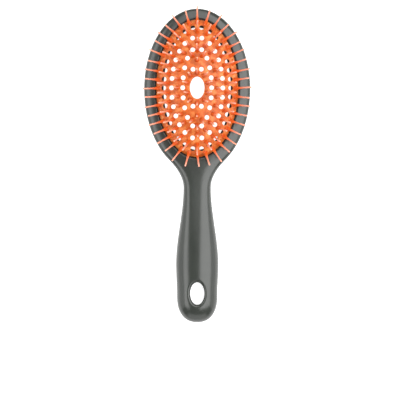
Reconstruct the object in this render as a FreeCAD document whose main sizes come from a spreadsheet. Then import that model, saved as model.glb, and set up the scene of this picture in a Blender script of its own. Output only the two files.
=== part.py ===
import FreeCAD, Part
import math
import os
import Sketcher
from FreeCAD import Placement, Rotation, Vector

# A vented oval hairbrush that lies on its back. +Z is the way the pins point, +Y runs from the
# handle to the head, and X runs across. The origin is under the middle of the whole brush.
# Sizes are in millimetres and angles in degrees. A reach is a distance along the brush from the
# middle of the head, positive towards the heel of the handle.

# Driving dimensions

DIMENSIONS = [
    # the outline seen from above
    ("brush_length", 225.5),
    ("head_half_width", 38.2),
    ("head_half_length", 57.6),
    ("lower_stretch", 2.9),
    ("shoulder_inset", 6.6),
    ("throat_length", 20.0),
    ("neck_half_width", 9.9),
    ("grip_from_heel", 41.9),
    ("grip_half_width", 15.3),
    ("heel_length", 18.9),
    ("heel_half_width", 14.6),
    # the two shells above and below the parting plane
    ("parting_height", 6.0),
    ("head_rise", 6.2),
    ("grip_rise", 10.4),
    ("back_land", 0.7),
    ("head_squareness", 3.2),
    ("grip_squareness", 2.15),
    ("heel_squareness", 2.3),
    ("wall", 2.2),
    # the pad's seat in the head
    ("ring_width", 8.1),
    ("ring_tip_width", 7.7),
    ("pad_gap", 0.7),
    ("ledge_inset", 2.4),
    ("ledge_thickness", 2.0),
    ("rim_height", 2.4),
    ("skirt_wall", 1.2),
    ("skirt_depth", 3.4),
    ("lip_width", 1.3),
    ("seat_clearance", 0.15),
    # the ring that holds the pad's skirt out from behind
    ("retainer_wall", 1.4),
    ("retainer_flange", 1.2),
    ("back_lip_inset", 3.4),
    # the domed membrane, its vents and the oval hole in its middle
    ("pad_rise", 13.0),
    ("cap_ratio", 0.95),
    ("membrane_wall", 1.2),
    ("vent_radius", 1.65),
    ("oval_half_width", 5.2),
    ("oval_half_length", 7.85),
    # the pins
    ("pin_length", 15.5),
    ("short_pin_length", 13.6),
    ("pin_root_radius", 1.45),
    ("pin_waist_radius", 0.62),
    ("pin_tip_radius", 0.45),
    ("pin_cone_length", 5.5),
    ("pin_root_depth", 1.8),
    ("pin_seat_gap", 0.06),
    ("outer_row_share", 0.953),
    ("outer_row_side_share", 0.925),
    ("outer_row_lean", 48.5),
    # the hang hole
    ("hang_from_heel", 20.9),
    ("hang_half_width", 5.1),
    ("hang_half_length", 8.05),
    # the pegs that line the two shells up
    ("peg_radius", 1.1),
    ("peg_length", 2.2),
    ("peg_clearance", 0.08),
    ("peg_boss_radius", 2.4),
]

# Sizes that follow from the driving ones
DERIVED = [
    ("handle_reach", "=brush_length - head_half_length"),
    ("head_lower_length", "=head_half_length + lower_stretch"),
    ("shoulder_reach", "=head_half_length - shoulder_inset"),
    ("neck_reach", "=shoulder_reach + throat_length"),
    ("grip_reach", "=handle_reach - grip_from_heel"),
    ("heel_reach", "=handle_reach - heel_length"),
    ("pad_half_width", "=head_half_width - ring_width - pad_gap"),
    ("pad_half_length", "=head_half_length - ring_tip_width - pad_gap"),
    ("ledge_top", "=parting_height + ledge_thickness"),
    ("rim_top", "=ledge_top + rim_height"),
    ("skirt_bottom", "=ledge_top - skirt_depth"),
    ("flange_bottom", "=skirt_bottom - retainer_flange"),
    ("crown_height", "=parting_height + grip_rise"),
    ("outer_row_reach", "=pad_half_length * outer_row_share"),
    (
        "tip_reach",
        "=outer_row_reach + (pin_length - pin_tip_radius) * sin(outer_row_lean) + pin_tip_radius",
    ),
    ("head_centre", "=(handle_reach - tip_reach) / 2"),
    ("hang_centre", "=head_centre - handle_reach + hang_from_heel"),
    ("dome_depth", "=sqrt(1 - cap_ratio ^ 2)"),
    ("dome_radius", "=pad_rise / (1 - dome_depth)"),
    ("dome_centre", "=rim_top - dome_radius * dome_depth"),
]

# Rows of vents, as shares of the pad's half width and half length, how many vents, and the share
# of a step between the long axis and the first of them
VENT_ROWS = [
    (0.813, 0.888, 34, 0.5),
    (0.622, 0.736, 26, 0.5),
    (0.350, 0.581, 18, 0.5),
]
VENT_PAIR = (0.102, 0.268)

# Rows of pins, as shares of the pad's half width and half length, how many, and their lean
SECOND_ROW = (0.704, 0.817, 30, 28.0)
THIRD_ROW = (0.473, 0.663, 24, 11.0)
OUTER_COUNT = 40
# Single pins in one quarter and their lean, first as shares of the pad, then of the oval hole
CREST_PINS = [((0.0, 0.537), 14.0), ((0.0, 0.402), 4.0), ((0.112, 0.459), 12.0)]
OVAL_PINS = [((0.0, 1.34), 8.0), ((0.913, 1.108), 12.0), ((1.346, 0.459), 12.0)]

# Where the pegs stand along the handle: in the throat, in the middle of the grip and in its bulge
HANDLE_PEGS = ["( shoulder_reach + neck_reach ) / 2", "( neck_reach + grip_reach ) / 2", "grip_reach"]

doc = FreeCAD.newDocument("VentedHairbrush")
sheet = doc.addObject("Spreadsheet::Sheet", "Dimensions")
for row, (alias, value) in enumerate(DIMENSIONS + DERIVED, start=1):
    sheet.set("A%d" % row, alias)
    sheet.set("B%d" % row, str(value))
    sheet.setAlias("B%d" % row, alias)
doc.recompute()


def size(alias):
    """The value of one named cell."""
    return float(getattr(sheet, alias))


def bind(thing, **sizes):
    """Bind properties of an object to expressions in the sheet's aliases."""
    for name, expression in sizes.items():
        thing.setExpression(name.replace("__", "."), expression)
    return thing


def named(words):
    """Prefix every alias in an expression with the sheet's name."""
    aliases = [alias for alias, _ in DIMENSIONS + DERIVED]
    return " ".join(
        "Dimensions." + word if word in aliases else word for word in words.split()
    )


# The outline of the shells


def ease(share, start, end, start_slope=0.0):
    """A cubic from start to end whose slope is start_slope at first and 0 at last."""
    rise = share * share * (3 - 2 * share)
    return start + (end - start) * rise + start_slope * share * (1 - share) ** 2


def half_width(reach):
    """Half the brush's width at a reach: an oval head, a throat, a neck, a grip and a heel."""
    head, shoulder = size("head_half_width"), size("shoulder_reach")
    length = size("head_half_length") if reach < 0 else size("head_lower_length")
    if reach <= shoulder:
        return head * math.sqrt(max(1 - (reach / length) ** 2, 0))
    neck, grip, heel = size("neck_reach"), size("grip_reach"), size("heel_reach")
    if reach <= neck:
        edge = math.sqrt(1 - (shoulder / length) ** 2)
        slope = -head * shoulder / (length * length * edge)
        share = (reach - shoulder) / (neck - shoulder)
        return ease(share, head * edge, size("neck_half_width"), slope * (neck - shoulder))
    if reach <= grip:
        share = (reach - neck) / (grip - neck)
        return ease(share, size("neck_half_width"), size("grip_half_width"))
    if reach <= heel:
        share = (reach - grip) / (heel - grip)
        return ease(share, size("grip_half_width"), size("heel_half_width"))
    share = (reach - heel) / (size("handle_reach") - heel)
    power = size("heel_squareness")
    return size("heel_half_width") * max(1 - share**power, 0) ** (1 / power)


def closing(reach):
    """How far the shells' height has closed in near either end, from 1 down to 0."""
    if reach < 0:
        power = size("head_squareness")
        share = -reach / size("head_half_length")
        return max(1 - share**power, 0) ** (1 / power)
    share = (reach - size("heel_reach")) / (size("handle_reach") - size("heel_reach"))
    return math.sqrt(max(1 - max(share, 0) ** 2, 0))


def along_throat(reach):
    """0 over the head, 1 from the grip on, and a smooth change over the throat."""
    start, end = size("pad_half_length"), size("grip_reach")
    return ease(min(max((reach - start) / (end - start), 0), 1), 0, 1)


def half_section(reach, inset, upward):
    """One lofting section: half a rounded oval above or below the parting plane."""
    blend = along_throat(reach)
    width = half_width(reach) - inset
    power = size("head_squareness") + (size("grip_squareness") - size("head_squareness")) * blend
    if upward:
        height = size("head_rise") + (size("grip_rise") - size("head_rise")) * blend
    else:
        height = -(size("parting_height") + size("back_land"))
    height *= closing(reach)
    height -= math.copysign(inset, height)
    middle = size("head_centre") - reach
    points = []
    steps = 16
    for step in range(steps + 1):
        turn = math.pi * step / steps
        across, up = math.cos(turn), math.sin(turn)
        scale = (abs(across) ** power + abs(up) ** power) ** (1 / power)
        points.append(
            Vector(width * across / scale, middle, size("parting_height") + height * up / scale)
        )
    crown = Part.BSplineCurve()
    crown.interpolate(Points=points, Parameters=[step / steps for step in range(steps + 1)])
    return Part.Wire([crown.toShape(), Part.makeLine(points[-1], points[0])])


def stations(margin):
    """Reaches of the lofting sections, closer together towards both ends."""
    tip, heel, end = size("head_half_length"), size("heel_reach"), size("handle_reach")
    places = [-tip * math.cos(math.radians(turn)) for turn in (4, 9, 15, 22, 30, 40, 52, 66, 80)]
    places += [size("shoulder_reach") * share for share in (0, 0.24, 0.47, 0.7, 0.87, 1)]
    marks = [size("shoulder_reach"), size("neck_reach"), size("grip_reach"), heel]
    for start, stop, steps in zip(marks, marks[1:], (4, 6, 3)):
        places += [start + (stop - start) * step / steps for step in range(1, steps + 1)]
    places += [heel + (end - heel) * math.sin(math.radians(turn)) for turn in (20, 38, 54, 67, 77, 84)]
    kept = []
    for reach in places:
        room = size("head_rise") * closing(reach) - margin
        if half_width(reach) > margin + 1.0 and room > 0.6:
            kept.append(reach)
    return kept if margin else places


def shell_loft(inset, upward):
    """A closed solid through the half sections, from one end of the brush to the other."""
    sections = [half_section(reach, inset, upward) for reach in stations(inset)]
    return Part.makeLoft(sections, True, False)


def feature(name, shape):
    """A free-form shape that no primitive or sketch gives."""
    thing = doc.addObject("Part::Feature", name)
    thing.Shape = shape
    return thing


# Building blocks bound to the sheet


def oval_block(name, half_wide, half_long, bottom, top, centre="head_centre"):
    """An upright oval column between two levels."""
    outline = doc.addObject("Part::Ellipse", name + "_outline")
    outline.Placement = Placement(Vector(0, 0, 0), Rotation(Vector(0, 0, 1), 90))
    bind(
        outline,
        MajorRadius=named(half_long),
        MinorRadius=named(half_wide),
        Placement__Base__y=named(centre),
        Placement__Base__z=named(bottom),
    )
    block = doc.addObject("Part::Extrusion", name)
    block.Base = outline
    block.DirMode = "Custom"
    block.Dir = Vector(0, 0, 1)
    block.Solid = True
    return bind(block, LengthFwd=named("( %s ) - ( %s )" % (top, bottom)))


def pad_oval(name, offset, bottom, top):
    """An oval column as far outside the pad's edge as the offset says."""
    return oval_block(
        name, "pad_half_width " + offset, "pad_half_length " + offset, bottom, top
    )


def post(name, place, radius, bottom, top):
    """A round column at a place in plan."""
    column = doc.addObject("Part::Cylinder", name)
    bind(
        column,
        Radius=named(radius),
        Height=named("( %s ) - ( %s )" % (top, bottom)),
        Placement__Base__x=named(place[0]),
        Placement__Base__y=named(place[1]),
        Placement__Base__z=named(bottom),
    )
    return column


def join(name, *things):
    fused = doc.addObject("Part::MultiFuse", name)
    fused.Shapes = list(things)
    return fused


def overlap(name, *things):
    shared = doc.addObject("Part::MultiCommon", name)
    shared.Shapes = list(things)
    return shared


def cut(name, base, tool):
    remainder = doc.addObject("Part::Cut", name)
    remainder.Base = base
    remainder.Tool = tool
    return remainder


# Pegs: three in the ring, at its sides and its tip, and three along the handle

RING_SIDE = "( head_half_width + pad_half_width + pad_gap ) / 2"
RING_TIP = "head_centre + ( head_half_length + pad_half_length + pad_gap ) / 2"
PEG_PLACES = [(RING_SIDE, "head_centre"), ("0 - " + RING_SIDE, "head_centre"), ("0", RING_TIP)]
PEG_PLACES += [("0", "head_centre - %s" % reach) for reach in HANDLE_PEGS]


def pegs(name, radius, bottom, top):
    """One column at every peg's place."""
    columns = [
        post("%s_%d" % (name, number), place, radius, bottom, top)
        for number, place in enumerate(PEG_PLACES, start=1)
    ]
    return join(name, *columns)


# The shells


def front_shell():
    """The front of the ring and handle, with the pad's seat, the hang hole and the pegs."""
    skin = feature("front_skin", shell_loft(0, True))
    hollow = feature("front_hollow", shell_loft(size("wall"), True))
    above = "crown_height + 1"
    seat_wall = pad_oval("front_seat_wall", "+ pad_gap + wall", "parting_height", above)
    hang_wall = oval_block(
        "front_hang_wall",
        "hang_half_width + wall",
        "hang_half_length + wall",
        "parting_height",
        above,
        "hang_centre",
    )
    bosses = pegs("front_bosses", "peg_boss_radius", "parting_height", above)
    solid_places = join("front_solid_places", seat_wall, hang_wall, bosses)
    cavity = cut("front_cavity", hollow, solid_places)
    walls = cut("front_walls", skin, cavity)
    opening = pad_oval("front_opening", "- ledge_inset", "parting_height - 1", above)
    recess = pad_oval("front_recess", "+ pad_gap", "ledge_top", above)
    hang_hole = oval_block(
        "front_hang_hole",
        "hang_half_width",
        "hang_half_length",
        "parting_height - 1",
        above,
        "hang_centre",
    )
    openings = join("front_openings", opening, recess, hang_hole)
    opened = cut("front_opened", walls, openings)
    studs = pegs("front_pegs", "peg_radius", "parting_height - peg_length", "parting_height + wall")
    return join("handle_front_shell", opened, studs)


def back_shell():
    """The back of the ring and handle, with a flat land to lie on and the pegs' sockets."""
    skin = feature("back_skin", shell_loft(0, False))
    hollow = feature("back_hollow", shell_loft(size("wall"), False))
    floor = doc.addObject("Part::Box", "back_floor")
    bind(
        floor,
        Length=named("4 * head_half_width"),
        Width=named("4 * handle_reach"),
        Height=named("parting_height + 1"),
        Placement__Base__x=named("-2 * head_half_width"),
        Placement__Base__y=named("-2 * handle_reach"),
    )
    landed = overlap("back_landed", skin, floor)
    lip_outside = "- ledge_inset + lip_width + seat_clearance"
    seat_wall = pad_oval("back_seat_wall", lip_outside + " + wall", "0", "parting_height")
    hang_wall = oval_block(
        "back_hang_wall",
        "hang_half_width + wall",
        "hang_half_length + wall",
        "0",
        "parting_height",
        "hang_centre",
    )
    bosses = pegs("back_bosses", "peg_boss_radius", "0", "parting_height")
    solid_places = join("back_solid_places", seat_wall, hang_wall, bosses)
    cavity = cut("back_cavity", hollow, solid_places)
    walls = cut("back_walls", landed, cavity)
    opening = pad_oval("back_opening", "- back_lip_inset", "-1", "parting_height + 1")
    recess = pad_oval("back_recess", lip_outside, "flange_bottom", "parting_height + 1")
    hang_hole = oval_block(
        "back_hang_hole",
        "hang_half_width",
        "hang_half_length",
        "-1",
        "parting_height + 1",
        "hang_centre",
    )
    sockets = pegs(
        "back_sockets",
        "peg_radius + peg_clearance",
        "parting_height - peg_length - peg_clearance",
        "parting_height + 1",
    )
    openings = join("back_openings", opening, recess, hang_hole, sockets)
    return cut("handle_back_shell", walls, openings)


# The pad and the ring behind it


def pad_rim():
    """The pad's thick edge: a flange on the ledge, a skirt through it and a lip under it."""
    skirt_outside = "- ledge_inset - seat_clearance"
    flange = pad_oval("rim_flange", "", "ledge_top", "rim_top")
    skirt = pad_oval("rim_skirt", skirt_outside, "skirt_bottom", "ledge_top")
    lip = pad_oval(
        "rim_lip", "- ledge_inset + lip_width", "skirt_bottom", "parting_height - seat_clearance"
    )
    inside = pad_oval("rim_inside", skirt_outside + " - skirt_wall", "skirt_bottom - 1", "rim_top + 1")
    return cut("pad_rim", join("rim_outside", flange, skirt, lip), inside)


def retaining_ring():
    """A ring pushed into the skirt from behind, with a flange trapped by the back shell."""
    ring_outside = "- ledge_inset - 2 * seat_clearance - skirt_wall"
    tube = pad_oval("ring_tube", ring_outside, "flange_bottom", "ledge_top")
    flange = pad_oval(
        "ring_collar", "- ledge_inset + lip_width", "flange_bottom", "skirt_bottom"
    )
    inside = pad_oval("ring_inside", ring_outside + " - retainer_wall", "flange_bottom - 1", "ledge_top + 1")
    return cut("pad_retaining_ring", join("ring_outside", tube, flange), inside)


def dome(name, offset):
    """A whole ellipsoid whose cap above the rim is the membrane's surface, or parallel to it."""
    ball = doc.addObject("Part::Ellipsoid", name)
    ball.Angle1, ball.Angle2, ball.Angle3 = -90, 90, 360
    bind(
        ball,
        Radius1=named("dome_radius " + offset),
        Radius2=named("pad_half_width / cap_ratio " + offset),
        Radius3=named("pad_half_length / cap_ratio " + offset),
        Placement__Base__y=named("head_centre"),
        Placement__Base__z=named("dome_centre"),
    )
    return ball


def dome_point(across, along):
    """The membrane's outer surface over a place measured from the middle of the head."""
    ratio = size("cap_ratio")
    level = (across / size("pad_half_width")) ** 2 + (along / size("pad_half_length")) ** 2
    height = size("dome_radius") * math.sqrt(1 - ratio * ratio * level)
    return Vector(across, size("head_centre") + along, size("dome_centre") + height)


def dome_normal(across, along):
    """The way the membrane faces over that place."""
    ratio = size("cap_ratio")
    up = dome_point(across, along).z - size("dome_centre")
    return Vector(
        across * (ratio / size("pad_half_width")) ** 2,
        along * (ratio / size("pad_half_length")) ** 2,
        up / size("dome_radius") ** 2,
    ).normalize()


def even_row(half_wide, half_long, count, start_share):
    """Places at even steps along an oval, the first one a share of a step off the long axis."""
    fine = 1440
    turns = [2 * math.pi * step / fine for step in range(fine + 1)]
    rim = [(half_wide * math.sin(turn), half_long * math.cos(turn)) for turn in turns]
    travelled = [0.0]
    for here, there in zip(rim, rim[1:]):
        travelled.append(travelled[-1] + math.dist(here, there))
    places = []
    for number in range(count):
        goal = travelled[-1] * (number + start_share) / count
        index = next(i for i in range(fine) if travelled[i + 1] >= goal)
        part = (goal - travelled[index]) / (travelled[index + 1] - travelled[index])
        here, there = rim[index], rim[index + 1]
        places.append(tuple(a + (b - a) * part for a, b in zip(here, there)))
    return places


def four_quarters(across, along):
    """The same place in all four quarters, without repeats on an axis."""
    return sorted({(sx * across + 0.0, sy * along + 0.0) for sx in (1, -1) for sy in (1, -1)})


def vent_places():
    wide, long = size("pad_half_width"), size("pad_half_length")
    places = []
    for side, end, count, start in VENT_ROWS:
        places += even_row(side * wide, end * long, count, start)
    return places + four_quarters(VENT_PAIR[0] * wide, VENT_PAIR[1] * long)


def membrane():
    """The domed skin of the pad, pierced by upright vents that a mould can draw straight out of."""
    drills = []
    for across, along in vent_places():
        start = Vector(across, size("head_centre") + along, size("rim_top") - size("rim_height"))
        drills.append(Part.makeCylinder(size("vent_radius"), 2 * size("pad_rise"), start, Vector(0, 0, 1)))
    base = doc.addObject("Part::Box", "membrane_block")
    bind(
        base,
        Length=named("4 * pad_half_width"),
        Width=named("4 * pad_half_length"),
        Height=named("2 * pad_rise"),
        Placement__Base__x=named("-2 * pad_half_width"),
        Placement__Base__y=named("head_centre - 2 * pad_half_length"),
        Placement__Base__z=named("rim_top"),
    )
    skin = cut("membrane_skin", dome("membrane_outside", ""), dome("membrane_inside", "- membrane_wall"))
    cap = overlap("membrane_cap", skin, base)
    oval = oval_block("oval_hole", "oval_half_width", "oval_half_length", "rim_top", "rim_top + 2 * pad_rise")
    vents = feature("vents", Part.makeCompound(drills))
    return cut("pad_membrane", cut("membrane_with_oval", cap, oval), vents)


# The pins


def pin_master(name, length):
    """One upright pin turned about its axis: a root, a cone, a slender shaft and a round tip."""
    body = doc.addObject("PartDesign::Body", name)
    sketch = body.newObject("Sketcher::SketchObject", name + "_profile")
    planes = [plane for plane in body.Origin.OriginFeatures if plane.Role == "XZ_Plane"]
    sketch.AttachmentSupport = [(planes[0], "")]
    sketch.MapMode = "FlatFace"
    root, waist, tip = (size("pin_%s_radius" % part) for part in ("root", "waist", "tip"))
    depth, cone, reach = size("pin_root_depth"), size("pin_cone_length"), size(length)
    corners = [(0, -depth), (root, -depth), (root, 0), (waist, cone), (tip, reach - tip)]
    for start, end in zip(corners, corners[1:]):
        sketch.addGeometry(Part.LineSegment(Vector(*start, 0), Vector(*end, 0)))
    round_end = Part.Circle(Vector(0, reach - tip, 0), Vector(0, 0, 1), tip)
    sketch.addGeometry(Part.ArcOfCircle(round_end, 0, math.pi / 2))
    sketch.addGeometry(Part.LineSegment(Vector(0, reach, 0), Vector(0, -depth, 0)))
    start_point, end_point, centre_point, upright_axis, origin = 1, 2, 3, -2, -1
    bottom, root_side, cone_side, shaft_side, arc, axis = range(6)
    for edge in range(6):
        sketch.addConstraint(
            Sketcher.Constraint("Coincident", edge, end_point, (edge + 1) % 6, start_point)
        )
    sketch.addConstraint(Sketcher.Constraint("PointOnObject", arc, centre_point, upright_axis))
    sketch.addConstraint(Sketcher.Constraint("PointOnObject", axis, start_point, upright_axis))
    sketch.addConstraint(Sketcher.Constraint("PointOnObject", axis, end_point, upright_axis))
    sketch.addConstraint(Sketcher.Constraint("Horizontal", bottom))
    sketch.addConstraint(Sketcher.Constraint("Vertical", root_side))
    sketch.addConstraint(
        Sketcher.Constraint("Horizontal", arc, centre_point, arc, start_point)
    )
    datums = [
        ("DistanceY", (bottom, end_point, origin, 1), depth, "pin_root_depth"),
        ("DistanceX", (origin, 1, bottom, end_point), root, "pin_root_radius"),
        ("PointOnObject", (root_side, end_point, origin), None, None),
        ("DistanceX", (origin, 1, cone_side, end_point), waist, "pin_waist_radius"),
        ("DistanceY", (origin, 1, cone_side, end_point), cone, "pin_cone_length"),
        ("DistanceX", (origin, 1, shaft_side, end_point), tip, "pin_tip_radius"),
        ("DistanceY", (origin, 1, axis, start_point), reach, length),
    ]
    for kind, where, value, alias in datums:
        if value is None:
            sketch.addConstraint(Sketcher.Constraint(kind, *where))
            continue
        index = sketch.addConstraint(Sketcher.Constraint(kind, *where, value))
        sketch.setExpression("Constraints[%d]" % index, named(alias))
    turned = body.newObject("PartDesign::Revolution", name + "_turned")
    turned.Profile = sketch
    turned.ReferenceAxis = (sketch, ["V_Axis"])
    turned.Angle = 360
    doc.recompute()
    return body.Shape


def pin_direction(across, along, half_wide, half_long, lean):
    """A direction that leans from upright by the lean, square to an oval through the place."""
    facing = Vector(across / half_wide**2, along / half_long**2, 0)
    if facing.Length:
        facing.normalize()
    return facing * math.sin(math.radians(lean)) + Vector(0, 0, math.cos(math.radians(lean)))


def stand_pin(master, across, along, direction):
    """A copy of a pin that stands on the membrane, its root cut off along the surface there."""
    facing = dome_normal(across, along)
    place = dome_point(across, along) + facing * size("pin_seat_gap")
    pin = master.copy()
    pin.Placement = Placement(place, Rotation(Vector(0, 0, 1), direction))
    reach = 4 * size("pin_root_radius")
    below = Part.makeBox(2 * reach, 2 * reach, reach, Vector(-reach, -reach, -reach))
    below.Placement = Placement(place, Rotation(Vector(0, 0, 1), facing))
    return pin.cut(below)


def row_pins(master, places, half_wide, half_long, lean):
    """A row's pins, all leaning out by the same angle."""
    return [
        stand_pin(master, x, y, pin_direction(x, y, half_wide, half_long, lean)) for x, y in places
    ]


def quarter_pins(master, quarters, wide, long):
    """Pins given for one quarter as shares of two half sizes, in all four quarters."""
    pins = []
    for (across, along), lean in quarters:
        places = four_quarters(across * wide, along * long)
        pins += row_pins(master, places, size("pad_half_width"), size("pad_half_length"), lean)
    return pins


def group(name, pins):
    """The pins of one node, as separate solids."""
    return feature(name, Part.makeCompound(pins))


def all_pins():
    """Every row of pins, as one node for each row and length."""
    long_pin = pin_master("long_pin", "pin_length")
    short_pin = pin_master("short_pin", "short_pin_length")
    wide, long = size("pad_half_width"), size("pad_half_length")
    outer = (wide * size("outer_row_side_share"), long * size("outer_row_share"))
    places = even_row(*outer, OUTER_COUNT, 0)
    lean = size("outer_row_lean")
    nodes = [
        group("pins_outer_long", row_pins(long_pin, places[0::2], *outer, lean)),
        group("pins_outer_short", row_pins(short_pin, places[1::2], *outer, lean)),
    ]
    for name, (side, end, count, row_lean) in (
        ("pins_second_row", SECOND_ROW),
        ("pins_third_row", THIRD_ROW),
    ):
        oval = (side * wide, end * long)
        nodes.append(group(name, row_pins(long_pin, even_row(*oval, count, 0), *oval, row_lean)))
    nodes.append(group("pins_crest", quarter_pins(long_pin, CREST_PINS, wide, long)))
    around = (size("oval_half_width"), size("oval_half_length"))
    nodes.append(group("pins_round_oval", quarter_pins(long_pin, OVAL_PINS, *around)))
    return nodes


nodes = [front_shell(), back_shell(), pad_rim(), retaining_ring(), membrane()] + all_pins()
doc.recompute()

# Checks and export

for thing in doc.Objects:
    if "Invalid" in thing.State or "Error" in thing.State:
        raise RuntimeError("%s did not build: %s" % (thing.Name, thing.State))
for node in nodes:
    if node.Shape.isNull() or not node.Shape.isValid():
        raise RuntimeError("%s has no valid shape" % node.Label)

os.makedirs("parts", exist_ok=True)
for node in nodes:
    node.Shape.exportStep("parts/%s.step" % node.Label)
    box = node.Shape.BoundBox
    print(
        "%-20s %3d solids  %9.1f mm3  x %.2f..%.2f  y %.2f..%.2f  z %.2f..%.2f"
        % (
            node.Label,
            len(node.Shape.Solids),
            node.Shape.Volume,
            box.XMin,
            box.XMax,
            box.YMin,
            box.YMax,
            box.ZMin,
            box.ZMax,
        )
    )
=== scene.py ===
import math

import bmesh
import bpy
import numpy as np
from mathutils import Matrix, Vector, geometry


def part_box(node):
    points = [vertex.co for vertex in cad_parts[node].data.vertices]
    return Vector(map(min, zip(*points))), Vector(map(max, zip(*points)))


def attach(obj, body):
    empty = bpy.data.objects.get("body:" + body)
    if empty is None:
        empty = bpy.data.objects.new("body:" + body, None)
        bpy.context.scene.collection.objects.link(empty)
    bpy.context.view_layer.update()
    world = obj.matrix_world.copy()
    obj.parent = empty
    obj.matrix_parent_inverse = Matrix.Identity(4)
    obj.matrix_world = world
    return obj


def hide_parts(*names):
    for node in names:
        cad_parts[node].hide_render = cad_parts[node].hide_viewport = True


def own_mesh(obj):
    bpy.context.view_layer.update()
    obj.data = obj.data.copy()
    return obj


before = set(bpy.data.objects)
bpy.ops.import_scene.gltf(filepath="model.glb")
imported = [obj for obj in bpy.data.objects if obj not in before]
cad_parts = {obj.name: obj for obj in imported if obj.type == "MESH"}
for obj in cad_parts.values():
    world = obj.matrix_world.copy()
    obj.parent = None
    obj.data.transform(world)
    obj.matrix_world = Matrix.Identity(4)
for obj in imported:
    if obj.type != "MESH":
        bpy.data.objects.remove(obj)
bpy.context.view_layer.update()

bl_info = {
    "name": "Vented Hairbrush",
    "version": (1, 0, 0),
    "blender": (4, 5, 0),
    "location": "View3D > Sidebar > Hairbrush",
    "description": "Builds a vented oval hairbrush with a domed cushion pad and leaning pins",
    "category": "Add Mesh",
}

# Everything is in metres, in the frame's own axes: +Z is the way the pins point and +Y runs
# from the handle to the head. A reach is a distance from the middle of the head towards the heel.

MM = 0.001


def corners(node):
    """The lowest and highest corners of a CAD node, as arrays."""
    low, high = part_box(node)
    return np.array(low), np.array(high)


FRONT_LOW, FRONT_HIGH = corners("handle_front_shell")
BACK_HIGH = corners("handle_back_shell")[1]
RIM_LOW, RIM_HIGH = corners("pad_rim")
RING_LOW, RING_HIGH = corners("pad_retaining_ring")

HEAD_Y = (RIM_LOW[1] + RIM_HIGH[1]) / 2
PAD_X = RIM_HIGH[0]
PAD_Y = (RIM_HIGH[1] - RIM_LOW[1]) / 2
PARTING = BACK_HIGH[2]
RIM_TOP = RIM_HIGH[2]
SKIRT_BOTTOM = RIM_LOW[2]
FLANGE_BOTTOM = RING_LOW[2]
LEDGE_TOP = RING_HIGH[2]


# Sizes and colours


def length(name, description, default):
    """A length property in metres."""
    return bpy.props.FloatProperty(
        name=name, description=description, default=default, unit="LENGTH", precision=5
    )


def share(name, description, default):
    """A plain number from 0 to 1."""
    return bpy.props.FloatProperty(
        name=name, description=description, default=default, min=0.0, max=1.0, subtype="FACTOR"
    )


def angle(name, description, degrees):
    """An angle property, given in degrees and kept in radians."""
    return bpy.props.FloatProperty(
        name=name, description=description, default=math.radians(degrees), subtype="ANGLE"
    )


def colour(name, description, default):
    """A linear colour property."""
    return bpy.props.FloatVectorProperty(
        name=name, description=description, default=default, size=3, subtype="COLOR", min=0, max=1
    )


class HairbrushShell(bpy.types.PropertyGroup):
    """Sizes of the two shells that make the head ring and the handle"""

    head_half_width: length("Head half width", "Half the width of the head", FRONT_HIGH[0])
    head_half_length: length(
        "Head half length", "From the middle of the head to its tip", FRONT_HIGH[1] - HEAD_Y
    )
    lower_stretch: length(
        "Lower stretch", "How much longer the head's oval is towards the handle", 2.9 * MM
    )
    shoulder_inset: length(
        "Shoulder inset", "How far short of the head's half length its oval ends", 6.6 * MM
    )
    throat_length: length("Throat length", "From the shoulder to the neck", 20.0 * MM)
    neck_half_width: length("Neck half width", "Half the width of the neck", 9.9 * MM)
    grip_from_heel: length("Grip from heel", "From the widest grip to the heel's end", 41.9 * MM)
    grip_half_width: length("Grip half width", "Half the width of the grip", 15.3 * MM)
    heel_length: length("Heel length", "Length of the rounded end of the handle", 18.9 * MM)
    heel_half_width: length("Heel half width", "Half the width where the end begins", 14.6 * MM)
    heel_squareness: bpy.props.FloatProperty(
        name="Heel squareness", description="Power of the heel's rounded outline", default=2.3
    )
    head_rise: length("Head rise", "Height of the head's crown over the parting plane", 6.2 * MM)
    grip_rise: length(
        "Grip rise", "Height of the grip over the parting plane", FRONT_HIGH[2] - PARTING
    )
    head_squareness: bpy.props.FloatProperty(
        name="Head squareness", description="Power of the head's rounded section", default=3.2
    )
    grip_squareness: bpy.props.FloatProperty(
        name="Grip squareness", description="Power of the grip's rounded section", default=2.15
    )
    back_land: length("Back land", "How much the flat land takes off the back's curve", 0.7 * MM)
    recess_gap: length("Recess gap", "Gap between the pad and the ring", 0.7 * MM)
    ledge_inset: length("Ledge inset", "How far the pad's ledge reaches under it", 2.4 * MM)
    lip_width: length("Lip width", "How far the skirt's lip reaches under the ledge", 1.3 * MM)
    skirt_wall: length("Skirt wall", "Thickness of the pad's skirt", 1.2 * MM)
    ring_wall: length("Ring wall", "Thickness of the retaining ring's tube", 1.4 * MM)
    seat_clearance: length("Seat clearance", "Gap between parts that seat in each other", 0.15 * MM)
    back_lip_inset: length("Back lip inset", "How far the back opening is inside the pad", 3.4 * MM)
    recess_edge: length("Recess edge", "Radius of the edge round the pad", 0.9 * MM)
    hang_from_heel: length("Hang hole from heel", "From the heel to the hole's middle", 20.9 * MM)
    hang_half_width: length("Hang hole half width", "Half the width of the hang hole", 5.1 * MM)
    hang_half_length: length("Hang hole half length", "Half the hang hole's length", 8.05 * MM)
    hang_edge: length("Hang hole edge", "Radius of the hang hole's rolled edge", 2.3 * MM)
    seam_depth: length("Seam depth", "Depth of the fine groove between the shells", 0.16 * MM)
    seam_half: length("Seam half width", "Half the width of that groove", 0.1 * MM)


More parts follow.
